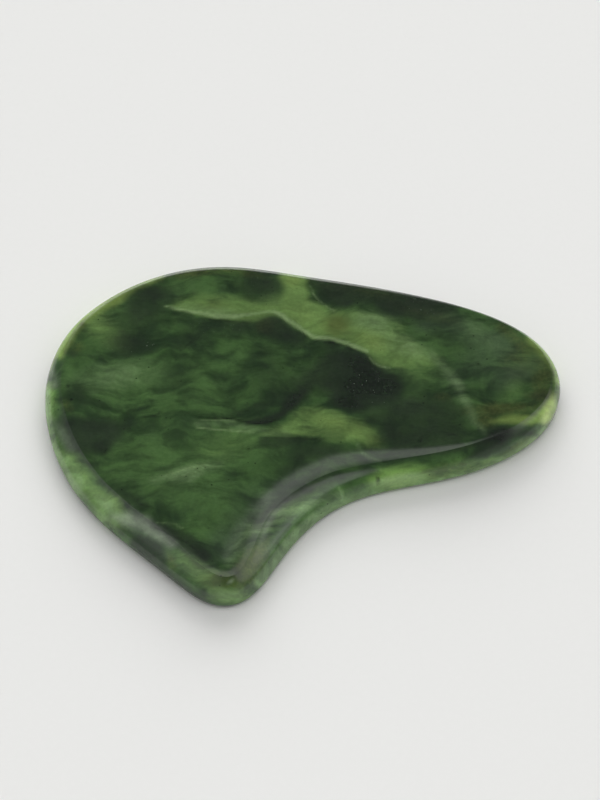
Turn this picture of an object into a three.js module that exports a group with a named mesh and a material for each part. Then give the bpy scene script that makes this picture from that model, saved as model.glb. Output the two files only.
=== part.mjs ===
// Gua sha scraper: one flat board ground and polished out of a single piece of
// green nephrite jade. Millimetres, +Z up, the board lying on its base face.
// Origin: centre of the bounding box in plan, on the base face.
//
// The board has a broad rounded lobe at -X, a slimmer lobe tapering to +X, a
// blunt point at -Y and a concave working edge between the point and the slim
// lobe. Its face is flat; all round it a hand-ground edge falls away to the
// side: a wide bevel with a distinct crease on the broad lobe and round the
// point, a bevel over a nearly upright wall in the concave edge, a narrower
// bevel on the near side of the slim lobe, and only a small
// rounding along the far side.

import * as THREE from 'three';

// ---- driving dimensions ----------------------------------------------------

const THICKNESS = 6.5;         // face to base
const OUTLINE_STEPS = 180;     // points round the outline
const BASE_ROUND_STEPS = 3;    // facets in the small rounding at the base
const WALL_STEPS = 2;          // facets up the side wall
const BEVEL_STEPS = 6;         // facets across the bevel
const SHOULDER_STEPS = 5;      // facets across the shoulder inside the crease

// Girdle outline in plan: control points of a closed uniform cubic B-spline,
// counter-clockwise from the far side of the broad lobe.
const OUTLINE = [
  [-21.42, 37.28], [-27.00, 36.03], [-32.34, 33.96], [-37.34, 31.14],
  [-41.92, 27.63], [-45.86, 23.44], [-48.80, 18.56], [-50.46, 13.12],
  [-50.81, 7.41], [-50.09, 1.69], [-48.55, -3.86], [-46.32, -9.13],
  [-43.36, -14.00], [-39.76, -18.42], [-35.70, -22.44], [-31.42, -26.20],
  [-27.08, -29.88], [-22.78, -33.70], [-18.10, -37.32], [-12.43, -37.95],
  [-7.97, -34.00], [-4.94, -29.01], [-1.82, -24.18], [1.95, -19.85],
  [6.41, -16.33], [11.50, -13.81], [16.99, -12.21], [22.62, -11.07],
  [28.19, -9.84], [33.61, -8.16], [38.84, -5.82], [43.78, -2.69],
  [47.98, 1.42], [50.60, 6.51], [50.87, 12.08], [48.66, 17.27],
  [44.61, 21.46], [39.64, 24.57], [34.35, 26.88], [28.94, 28.69],
  [23.47, 30.25], [17.95, 31.65], [12.38, 32.88], [6.78, 33.95],
  [1.17, 35.00], [-4.44, 36.13], [-10.07, 37.15], [-15.74, 37.64],
];

// How the ground edge changes round the outline. `at` is the place, as a
// fraction of the way round from the first control point.
//   bevel     crease to outline, in plan
//   rimHeight height of the line between side wall and bevel
//   rimInset  that line's distance in from the outline, in plan
//   drop      how far the crease lies below the face
//   shoulder  width of the soft fall inside the crease
//   bevelTop  slope of the bevel at the crease, degrees
//   faceEdge  slope of the shoulder at the crease, degrees
//   bevelFoot slope of the bevel at the rim, degrees
//   baseRound radius of the rounding at the base
const EDGE = [
  { at: 0.000, bevel: 0.9, rimHeight: 5.1, rimInset: 0.0, drop: 0.08, shoulder: 1.1, bevelTop: 34, faceEdge: 12, bevelFoot: 84, baseRound: 1.2 },
  { at: 0.090, bevel: 1.3, rimHeight: 4.7, rimInset: 0.0, drop: 0.06, shoulder: 0.9, bevelTop: 34, faceEdge: 7, bevelFoot: 82, baseRound: 1.2 },
  { at: 0.150, bevel: 3.1, rimHeight: 3.1, rimInset: 0.0, drop: 0.03, shoulder: 0.7, bevelTop: 33, faceEdge: 3, bevelFoot: 78, baseRound: 1.2 },
  { at: 0.190, bevel: 3.8, rimHeight: 2.5, rimInset: 0.0, drop: 0.02, shoulder: 0.6, bevelTop: 34, faceEdge: 2, bevelFoot: 76, baseRound: 1.2 },
  { at: 0.250, bevel: 4.4, rimHeight: 2.2, rimInset: 0.0, drop: 0.02, shoulder: 0.6, bevelTop: 34, faceEdge: 2, bevelFoot: 74, baseRound: 1.2 },
  { at: 0.320, bevel: 4.6, rimHeight: 2.2, rimInset: 0.0, drop: 0.03, shoulder: 0.8, bevelTop: 34, faceEdge: 3, bevelFoot: 74, baseRound: 1.2 },
  { at: 0.370, bevel: 3.6, rimHeight: 2.6, rimInset: 0.1, drop: 0.10, shoulder: 1.8, bevelTop: 36, faceEdge: 5, bevelFoot: 74, baseRound: 1.1 },
  { at: 0.400, bevel: 3.1, rimHeight: 3.2, rimInset: 0.4, drop: 0.20, shoulder: 1.8, bevelTop: 38, faceEdge: 12, bevelFoot: 72, baseRound: 1.0 },
  { at: 0.430, bevel: 4.2, rimHeight: 3.6, rimInset: 0.8, drop: 0.50, shoulder: 3.0, bevelTop: 38, faceEdge: 18, bevelFoot: 66, baseRound: 0.9 },
  { at: 0.465, bevel: 6.0, rimHeight: 3.7, rimInset: 1.1, drop: 0.80, shoulder: 4.6, bevelTop: 34, faceEdge: 20, bevelFoot: 60, baseRound: 0.8 },
  { at: 0.500, bevel: 5.2, rimHeight: 3.8, rimInset: 1.1, drop: 0.80, shoulder: 4.6, bevelTop: 34, faceEdge: 20, bevelFoot: 60, baseRound: 0.8 },
  { at: 0.530, bevel: 3.9, rimHeight: 3.8, rimInset: 0.8, drop: 0.70, shoulder: 4.0, bevelTop: 36, faceEdge: 22, bevelFoot: 64, baseRound: 0.8 },
  { at: 0.560, bevel: 3.3, rimHeight: 3.5, rimInset: 0.4, drop: 0.40, shoulder: 2.8, bevelTop: 38, faceEdge: 20, bevelFoot: 70, baseRound: 0.9 },
  { at: 0.610, bevel: 2.9, rimHeight: 3.0, rimInset: 0.1, drop: 0.06, shoulder: 0.9, bevelTop: 36, faceEdge: 5, bevelFoot: 76, baseRound: 1.1 },
  { at: 0.660, bevel: 2.5, rimHeight: 2.8, rimInset: 0.0, drop: 0.01, shoulder: 0.4, bevelTop: 35, faceEdge: 2, bevelFoot: 78, baseRound: 1.2 },
  { at: 0.710, bevel: 1.8, rimHeight: 3.7, rimInset: 0.0, drop: 0.01, shoulder: 0.4, bevelTop: 35, faceEdge: 2, bevelFoot: 80, baseRound: 1.2 },
  { at: 0.760, bevel: 1.2, rimHeight: 4.5, rimInset: 0.0, drop: 0.01, shoulder: 0.4, bevelTop: 35, faceEdge: 2, bevelFoot: 82, baseRound: 1.2 },
  { at: 0.820, bevel: 0.9, rimHeight: 5.1, rimInset: 0.0, drop: 0.03, shoulder: 0.6, bevelTop: 35, faceEdge: 5, bevelFoot: 84, baseRound: 1.2 },
  { at: 0.900, bevel: 0.9, rimHeight: 5.1, rimInset: 0.0, drop: 0.07, shoulder: 1.0, bevelTop: 34, faceEdge: 12, bevelFoot: 84, baseRound: 1.2 },
];

// ---- outline and edge, as functions of the way round -------------------------

function outlineAt(u) {
  const n = OUTLINE.length;
  const s = (((u % 1) + 1) % 1) * n;
  const i = Math.floor(s);
  const t = s - i;
  const w = [
    (1 - t) ** 3 / 6,
    (3 * t ** 3 - 6 * t ** 2 + 4) / 6,
    (-3 * t ** 3 + 3 * t ** 2 + 3 * t + 1) / 6,
    t ** 3 / 6,
  ];
  const d = [
    -((1 - t) ** 2) / 2,
    (9 * t ** 2 - 12 * t) / 6,
    (-9 * t ** 2 + 6 * t + 3) / 6,
    t ** 2 / 2,
  ];
  let x = 0, y = 0, dx = 0, dy = 0;
  for (let k = 0; k < 4; k++) {
    const p = OUTLINE[(i - 1 + k + n) % n];
    x += w[k] * p[0];
    y += w[k] * p[1];
    dx += d[k] * p[0];
    dy += d[k] * p[1];
  }
  const len = Math.hypot(dx, dy);
  return { x, y, nx: dy / len, ny: -dx / len };   // n points out of the board
}

// Monotone cubic interpolation between the keys, so that nothing overshoots.
function edgeAt(u) {
  const n = EDGE.length;
  const at = (k) => EDGE[((k % n) + n) % n].at + Math.floor(k / n);
  const v = ((u % 1) + 1) % 1;
  let k = n - 1;
  while (EDGE[k].at > v) k--;
  const h = at(k + 1) - at(k);
  const t = (v - at(k)) / h;
  const out = {};
  for (const name of Object.keys(EDGE[0])) {
    if (name === 'at') continue;
    const val = (j) => EDGE[((j % n) + n) % n][name];
    const slope = (j) => {
      const d0 = (val(j) - val(j - 1)) / (at(j) - at(j - 1));
      const d1 = (val(j + 1) - val(j)) / (at(j + 1) - at(j));
      return d0 * d1 <= 0 ? 0 : (2 * d0 * d1) / (d0 + d1);
    };
    const a = val(k), b = val(k + 1), ma = slope(k) * h, mb = slope(k + 1) * h;
    out[name] = (2 * t ** 3 - 3 * t ** 2 + 1) * a + (t ** 3 - 2 * t ** 2 + t) * ma
      + (-2 * t ** 3 + 3 * t ** 2) * b + (t ** 3 - t ** 2) * mb;
  }
  return out;
}

const bezier = (a, b, c, d, t) =>
  (1 - t) ** 3 * a + 3 * (1 - t) ** 2 * t * b + 3 * (1 - t) * t ** 2 * c + t ** 3 * d;

// Section through the edge: [distance in from the outline, height], from the
// edge of the flat base up and over to the edge of the flat face.
function section(e) {
  const rad = Math.PI / 180;
  const pts = [];
  for (let j = 0; j <= BASE_ROUND_STEPS; j++) {
    const a = (j / BASE_ROUND_STEPS) * Math.PI / 2;
    pts.push([e.baseRound * (1 - Math.sin(a)), e.baseRound * (1 - Math.cos(a))]);
  }
  for (let j = 1; j <= WALL_STEPS; j++) {
    const t = j / WALL_STEPS;
    pts.push([e.rimInset * t * t, e.baseRound + (e.rimHeight - e.baseRound) * t]);
  }
  const creaseZ = THICKNESS - e.drop;
  const arm = 0.38 * Math.hypot(e.bevel - e.rimInset, creaseZ - e.rimHeight);
  const foot = [e.rimInset + arm * Math.cos(e.bevelFoot * rad), e.rimHeight + arm * Math.sin(e.bevelFoot * rad)];
  const head = [e.bevel - arm * Math.cos(e.bevelTop * rad), creaseZ - arm * Math.sin(e.bevelTop * rad)];
  for (let j = 1; j <= BEVEL_STEPS; j++) {
    const t = j / BEVEL_STEPS;
    pts.push([bezier(e.rimInset, foot[0], head[0], e.bevel, t), bezier(e.rimHeight, foot[1], head[1], creaseZ, t)]);
  }
  const reach = 0.36 * e.shoulder;
  const lift = [e.bevel + reach * Math.cos(e.faceEdge * rad), Math.min(creaseZ + reach * Math.sin(e.faceEdge * rad), THICKNESS)];
  for (let j = 1; j <= SHOULDER_STEPS; j++) {
    const t = j / SHOULDER_STEPS;
    pts.push([
      bezier(e.bevel, lift[0], e.bevel + 0.55 * e.shoulder, e.bevel + e.shoulder, t),
      bezier(creaseZ, lift[1], THICKNESS, THICKNESS, t),
    ]);
  }
  return pts;
}

// ---- the board ---------------------------------------------------------------

function boardGeometry() {
  const rings = [];
  for (let i = 0; i < OUTLINE_STEPS; i++) {
    const u = i / OUTLINE_STEPS;
    const o = outlineAt(u);
    section(edgeAt(u)).forEach(([inset, z], r) => {
      (rings[r] ??= []).push([o.x - o.nx * inset, o.y - o.ny * inset, z]);
    });
  }

  const positions = rings.flat(2);
  const index = [];
  const at = (r, i) => r * OUTLINE_STEPS + (i % OUTLINE_STEPS);
  for (let r = 0; r + 1 < rings.length; r++) {
    for (let i = 0; i < OUTLINE_STEPS; i++) {
      index.push(at(r, i), at(r, i + 1), at(r + 1, i + 1));
      index.push(at(r, i), at(r + 1, i + 1), at(r + 1, i));
    }
  }
  const cap = (r, up) => {
    const contour = rings[r].map(([x, y]) => new THREE.Vector2(x, y));
    for (const [a, b, c] of THREE.ShapeUtils.triangulateShape(contour, [])) {
      index.push(at(r, a), ...(up ? [at(r, b), at(r, c)] : [at(r, c), at(r, b)]));
    }
  };
  cap(0, false);                   // base face
  cap(rings.length - 1, true);     // upper face

  const geometry = new THREE.BufferGeometry();
  geometry.setAttribute('position', new THREE.Float32BufferAttribute(positions, 3));
  geometry.setIndex(index);
  geometry.computeVertexNormals();
  return geometry;
}

const jade = new THREE.MeshStandardMaterial({ name: 'polished_jade', color: 0x2c4a2a, roughness: 0.2, metalness: 0 });
const board = new THREE.Mesh(boardGeometry(), jade);
board.name = 'jade_board';

const scraper = new THREE.Group();
scraper.name = 'gua_sha_scraper';
scraper.add(board);

export default scraper;
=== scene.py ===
import math

import bpy
import numpy as np
from mathutils import Matrix, Vector, geometry


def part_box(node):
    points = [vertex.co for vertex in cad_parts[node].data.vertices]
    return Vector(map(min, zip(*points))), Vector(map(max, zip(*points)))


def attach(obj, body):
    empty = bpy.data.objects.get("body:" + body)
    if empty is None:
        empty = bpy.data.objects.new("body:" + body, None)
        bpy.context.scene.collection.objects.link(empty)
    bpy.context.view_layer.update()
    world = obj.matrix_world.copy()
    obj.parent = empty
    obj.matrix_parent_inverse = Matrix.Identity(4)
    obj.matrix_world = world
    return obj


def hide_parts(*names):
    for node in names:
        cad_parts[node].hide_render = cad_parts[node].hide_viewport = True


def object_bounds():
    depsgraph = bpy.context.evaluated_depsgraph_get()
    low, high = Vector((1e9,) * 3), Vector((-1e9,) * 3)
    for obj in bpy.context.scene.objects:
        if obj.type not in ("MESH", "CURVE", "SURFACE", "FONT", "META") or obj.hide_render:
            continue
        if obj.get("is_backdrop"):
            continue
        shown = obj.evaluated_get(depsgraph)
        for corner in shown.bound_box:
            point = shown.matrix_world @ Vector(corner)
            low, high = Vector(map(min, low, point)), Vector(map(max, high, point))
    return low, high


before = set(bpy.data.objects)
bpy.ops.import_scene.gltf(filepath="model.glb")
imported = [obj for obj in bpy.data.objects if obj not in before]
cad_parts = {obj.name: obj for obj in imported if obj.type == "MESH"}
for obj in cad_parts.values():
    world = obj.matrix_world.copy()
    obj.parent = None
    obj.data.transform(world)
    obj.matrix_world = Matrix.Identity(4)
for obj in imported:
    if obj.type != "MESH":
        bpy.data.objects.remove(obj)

CAD_LO, CAD_HI = (Vector(v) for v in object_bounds())
MM = 0.001

# --------------------------------------------------------------------------
# The board's shape. Outline and edge sections repeat part.mjs, in millimetres
# in the CAD frame; the visual surface follows them far more finely and adds
# the slight unevenness of a hand-ground, hand-polished stone.
# --------------------------------------------------------------------------

LO, HI = (np.array(v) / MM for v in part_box("jade_board"))
T = float(HI[2] - LO[2])

OUTLINE = np.array([
    (-21.42, 37.28), (-27.00, 36.03), (-32.34, 33.96), (-37.34, 31.14),
    (-41.92, 27.63), (-45.86, 23.44), (-48.80, 18.56), (-50.46, 13.12),
    (-50.81, 7.41), (-50.09, 1.69), (-48.55, -3.86), (-46.32, -9.13),
    (-43.36, -14.00), (-39.76, -18.42), (-35.70, -22.44), (-31.42, -26.20),
    (-27.08, -29.88), (-22.78, -33.70), (-18.10, -37.32), (-12.43, -37.95),
    (-7.97, -34.00), (-4.94, -29.01), (-1.82, -24.18), (1.95, -19.85),
    (6.41, -16.33), (11.50, -13.81), (16.99, -12.21), (22.62, -11.07),
    (28.19, -9.84), (33.61, -8.16), (38.84, -5.82), (43.78, -2.69),
    (47.98, 1.42), (50.60, 6.51), (50.87, 12.08), (48.66, 17.27),
    (44.61, 21.46), (39.64, 24.57), (34.35, 26.88), (28.94, 28.69),
    (23.47, 30.25), (17.95, 31.65), (12.38, 32.88), (6.78, 33.95),
    (1.17, 35.00), (-4.44, 36.13), (-10.07, 37.15), (-15.74, 37.64),
])

# at, bevel, rim height, rim inset, drop, shoulder, bevel-top, face-edge and
# bevel-foot slopes in degrees, base round
EDGE = np.array([
    (0.000, 0.9, 5.1, 0.0, 0.08, 1.1, 34, 12, 84, 1.2),
    (0.090, 1.3, 4.7, 0.0, 0.06, 0.9, 34, 7, 82, 1.2),
    (0.150, 3.1, 3.1, 0.0, 0.03, 0.7, 33, 3, 78, 1.2),
    (0.190, 3.8, 2.5, 0.0, 0.02, 0.6, 34, 2, 76, 1.2),
    (0.250, 4.4, 2.2, 0.0, 0.02, 0.6, 34, 2, 74, 1.2),
    (0.320, 4.6, 2.2, 0.0, 0.03, 0.8, 34, 3, 74, 1.2),
    (0.370, 3.6, 2.6, 0.1, 0.10, 1.8, 36, 5, 74, 1.1),
    (0.400, 3.1, 3.2, 0.4, 0.20, 1.8, 38, 12, 72, 1.0),
    (0.430, 4.2, 3.6, 0.8, 0.50, 3.0, 38, 18, 66, 0.9),
    (0.465, 6.0, 3.7, 1.1, 0.80, 4.6, 34, 20, 60, 0.8),
    (0.500, 5.2, 3.8, 1.1, 0.80, 4.6, 34, 20, 60, 0.8),
    (0.530, 3.9, 3.8, 0.8, 0.70, 4.0, 36, 22, 64, 0.8),
    (0.560, 3.3, 3.5, 0.4, 0.40, 2.8, 38, 20, 70, 0.9),
    (0.610, 2.9, 3.0, 0.1, 0.06, 0.9, 36, 5, 76, 1.1),
    (0.660, 2.5, 2.8, 0.0, 0.01, 0.4, 35, 2, 78, 1.2),
    (0.710, 1.8, 3.7, 0.0, 0.01, 0.4, 35, 2, 80, 1.2),
    (0.760, 1.2, 4.5, 0.0, 0.01, 0.4, 35, 2, 82, 1.2),
    (0.820, 0.9, 5.1, 0.0, 0.03, 0.6, 35, 5, 84, 1.2),
    (0.900, 0.9, 5.1, 0.0, 0.07, 1.0, 34, 12, 84, 1.2),
], dtype=float)


def outline(u, derivative=False):
    n = len(OUTLINE)
    s = (np.asarray(u) % 1.0) * n
    i = np.floor(s).astype(int)
    t = s - i
    if derivative:
        w = (-(1 - t) ** 2 / 2, (9 * t ** 2 - 12 * t) / 6,
             (-9 * t ** 2 + 6 * t + 3) / 6, t ** 2 / 2)
    else:
        w = ((1 - t) ** 3 / 6, (3 * t ** 3 - 6 * t ** 2 + 4) / 6,
             (-3 * t ** 3 + 3 * t ** 2 + 3 * t + 1) / 6, t ** 3 / 6)
    return sum(w[k][..., None] * OUTLINE[(i - 1 + k) % n] for k in range(4))


def outward(u):
    d = outline(u, True)
    d /= np.linalg.norm(d, axis=-1)[..., None]
    return np.stack([d[..., 1], -d[..., 0]], -1)


def edge(u):
    """The edge's nine sizes at u, by monotone cubic interpolation."""
    n = len(EDGE)
    u = np.asarray(u, float) % 1.0
    at = lambda k: EDGE[k % n, 0] + np.floor_divide(k, n)
    v = EDGE[:, 1:]
    i = np.searchsorted(EDGE[:, 0], u, side="right") - 1
    h = (at(i + 1) - at(i))[..., None]
    t = ((u - at(i))[..., None]) / h

    def slope(j):
        a = (v[j % n] - v[(j - 1) % n]) / (at(j) - at(j - 1))[..., None]
        b = (v[(j + 1) % n] - v[j % n]) / (at(j + 1) - at(j))[..., None]
        return np.where(a * b <= 0, 0.0, 2 * a * b / np.where(a + b == 0, 1.0, a + b))

    return ((2 * t ** 3 - 3 * t ** 2 + 1) * v[i % n] + (t ** 3 - 2 * t ** 2 + t) * h * slope(i)
            + (-2 * t ** 3 + 3 * t ** 2) * v[(i + 1) % n] + (t ** 3 - t ** 2) * h * slope(i + 1))


def bezier(a, b, c, d, t):
    return (1 - t) ** 3 * a + 3 * (1 - t) ** 2 * t * b + 3 * (1 - t) * t ** 2 * c + t ** 3 * d


def section(e, base=5, wall=6, bevel=16, shoulder=16):
    """Rows of (inset, height), from the flat base's edge up to the flat face's edge."""
    b, rim, rim_in, drop, sh = (e[..., k] for k in range(5))
    top, face, foot = (np.radians(e[..., k]) for k in (5, 6, 7))
    r = e[..., 8]
    rows = []
    for j in range(base + 1):
        a = j / base * math.pi / 2
        rows.append((r * (1 - math.sin(a)), r * (1 - math.cos(a))))
    for j in range(1, wall + 1):
        t = j / wall
        rows.append((rim_in * t * t, r + (rim - r) * t))
    crease = T - drop
    arm = 0.38 * np.hypot(b - rim_in, crease - rim)
    for j in range(1, bevel + 1):       # rows crowd together at the crease
        t = 1 - (1 - j / bevel) ** 1.7
        rows.append((bezier(rim_in, rim_in + arm * np.cos(foot), b - arm * np.cos(top), b, t),
                     bezier(rim, rim + arm * np.sin(foot), crease - arm * np.sin(top), crease, t)))
    reach = 0.36 * sh
    lift = np.minimum(crease + reach * np.sin(face), T)
    for j in range(1, shoulder + 1):
        t = (j / shoulder) ** 1.7
        rows.append((bezier(b, b + reach * np.cos(face), b + 0.55 * sh, b + sh, t),
                     bezier(crease, lift, T + 0 * sh, T + 0 * sh, t)))
    return rows


# --------------------------------------------------------------------------
# Plain lattice noise in numpy, for the unevenness and for the layout below.
# --------------------------------------------------------------------------

def _hash(i, j, k):
    h = (i * 374761393 + j * 668265263 + k * 2147483647 + 144665) & 0xFFFFFFFF
    h = ((h ^ (h >> 13)) * 1274126177) & 0xFFFFFFFF
    return ((h ^ (h >> 16)) & 0xFFFF) / 65535.0


def noise(x, y, z=0.0, seed=0):
    """Smooth noise in 0..1 at unit scale."""
    x, y, z = np.broadcast_arrays(np.asarray(x, float), np.asarray(y, float), np.asarray(z, float) + seed * 17.3)
    xi, yi, zi = (np.floor(v).astype(np.int64) for v in (x, y, z))
    f = [v - i for v, i in ((x, xi), (y, yi), (z, zi))]
    f = [t * t * t * (t * (t * 6 - 15) + 10) for t in f]
    total = 0.0
    for a in (0, 1):
        for b in (0, 1):
            for c in (0, 1):
                w = (f[0] if a else 1 - f[0]) * (f[1] if b else 1 - f[1]) * (f[2] if c else 1 - f[2])
                total = total + w * _hash(xi + a, yi + b, zi + c)
    return total


def fractal(x, y, z=0.0, seed=0, octaves=3):
    total, amp, norm = 0.0, 1.0, 0.0
    for o in range(octaves):
        total = total + amp * noise(np.asarray(x) * 2 ** o, np.asarray(y) * 2 ** o, np.asarray(z) * 2 ** o, seed + o)
        norm += amp
        amp *= 0.5
    return total / norm


# --------------------------------------------------------------------------
# The surface
# --------------------------------------------------------------------------

AROUND = 720


def make_surface():
    u = np.arange(AROUND) / AROUND
    p, n, e = outline(u), outward(u), edge(u)
    # hand grinding: the bevel's width and drop wander by a few hundredths
    wander = fractal(p[:, 0] / 9, p[:, 1] / 9, seed=3) - 0.5
    e[:, 0] *= 1 + 0.05 * wander
    e[:, 3] *= 1 + 0.25 * wander
    rings = []
    for inset, height in section(e):
        inset = np.asarray(inset) * np.ones(AROUND)
        xy = p - n * inset[:, None]
        rings.append(np.column_stack([xy, np.asarray(height) * np.ones(AROUND)]))
    verts = np.concatenate(rings)
    m = len(rings)
    faces = []
    for r in range(m - 1):
        a, b = r * AROUND, (r + 1) * AROUND
        for i in range(AROUND):
            j = (i + 1) % AROUND
            faces.append((a + i, a + j, b + j, b + i))

    def cap(ring, start, spacing, up):
        """Triangles across a ring, with its own points inside it."""
        nonlocal verts
        xy = ring[:, :2]
        lo, hi = xy.min(0), xy.max(0)
        gx, gy = [], []
        rows = int((hi[1] - lo[1]) / (spacing * 0.866)) + 1
        for row in range(rows):
            y = lo[1] + (row + 0.5) * spacing * 0.866
            xs = np.arange(lo[0] + (0.5 * spacing if row % 2 else 0), hi[0], spacing)
            gx.append(xs)
            gy.append(np.full(len(xs), y))
        g = np.column_stack([np.concatenate(gx), np.concatenate(gy)])
        a, b = xy, np.roll(xy, -1, 0)
        inside = np.zeros(len(g), bool)
        for (x0, y0), (x1, y1) in zip(a, b):
            if y0 != y1:
                cross = ((g[:, 1] < y0) != (g[:, 1] < y1)) & (g[:, 0] < (x1 - x0) * (g[:, 1] - y0) / (y1 - y0) + x0)
                inside ^= cross
        g = g[inside]
        near = np.full(len(g), 1e9)
        for q in xy[::2]:
            near = np.minimum(near, np.hypot(g[:, 0] - q[0], g[:, 1] - q[1]))
        g = g[near > spacing * 0.55]
        pts = [Vector(q) for q in np.concatenate([xy, g])]
        edges = [(i, (i + 1) % len(xy)) for i in range(len(xy))]
        out = geometry.delaunay_2d_cdt(pts, edges, [], 1, 1e-6)
        places, tris, origin = out[0], out[2], out[3]
        base = len(verts)
        index, extra = [], []
        for place, came in zip(places, origin):
            ringed = [c for c in came if c < len(xy)]
            if ringed:
                index.append(start + ringed[0])
            else:
                index.append(base + len(extra))
                extra.append((place.x, place.y, ring[0, 2]))
        verts = np.concatenate([verts, np.array(extra)])
        for t in tris:
            t = [index[k] for k in t]
            (x0, y0), (x1, y1), (x2, y2) = (verts[k][:2] for k in t)
            ccw = (x1 - x0) * (y2 - y0) - (x2 - x0) * (y1 - y0) > 0
            faces.append(tuple(t) if ccw == up else tuple(t[::-1]))

    cap(rings[-1], (m - 1) * AROUND, 0.42, True)
    cap(rings[0], 0, 1.6, False)
    return verts, faces


VERTS, FACES = make_surface()


def from_edge(x, y):
    """Distance in from the outline, in plan."""
    ring = outline(np.arange(1440) / 1440)
    best = np.full(len(x), 1e9)
    for q in ring:
        best = np.minimum(best, (x - q[0]) ** 2 + (y - q[1]) ** 2)
    return np.sqrt(best)


def uneven(v):
    """Slight hollows left by polishing, never above the face nor outside the outline."""
    x, y, z = v.T
    lift = np.clip((z - 1.5) / 3.0, 0, 1)
    low = fractal(x / 14, y / 14, seed=11, octaves=2)
    mid = fractal(x / 4.5, y / 4.5, seed=23, octaves=2)
    out = v.copy()
    out[:, 2] -= lift * (0.10 * (1 - low) + 0.022 * (1 - mid))
    return out


SURFACE = uneven(VERTS)


def new_mesh(name, verts_mm, faces):
    mesh = bpy.data.meshes.new(name)
    mesh.from_pydata([tuple(q) for q in np.asarray(verts_mm) * MM], [], faces)
    mesh.validate()
    mesh.update()
    for poly in mesh.polygons:
        poly.use_smooth = True
    ob = bpy.data.objects.new(name, mesh)
    bpy.context.scene.collection.objects.link(ob)
    return ob


board = new_mesh("jade_board_polished", SURFACE, FACES)
bpy.context.scene.view_settings.view_transform = "Standard"
bpy.context.scene.view_settings.look = "None"

# --------------------------------------------------------------------------
# Where the colours of the stone lie, together with the painted sheen on the
# bevels and the painted light of the thin rim. Each entry places one vein, patch or
# wisp in plan, in millimetres, at the level of the face; below the face the
# layout slants on down through the slab, as bedding does.
#   vein   (x, y, half width) points of a band
#   patch  corners of an area
#   blob   x, y, half length, half width, angle in degrees
# The last two numbers are the softness of its border in mm and its strength.
# --------------------------------------------------------------------------

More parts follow.
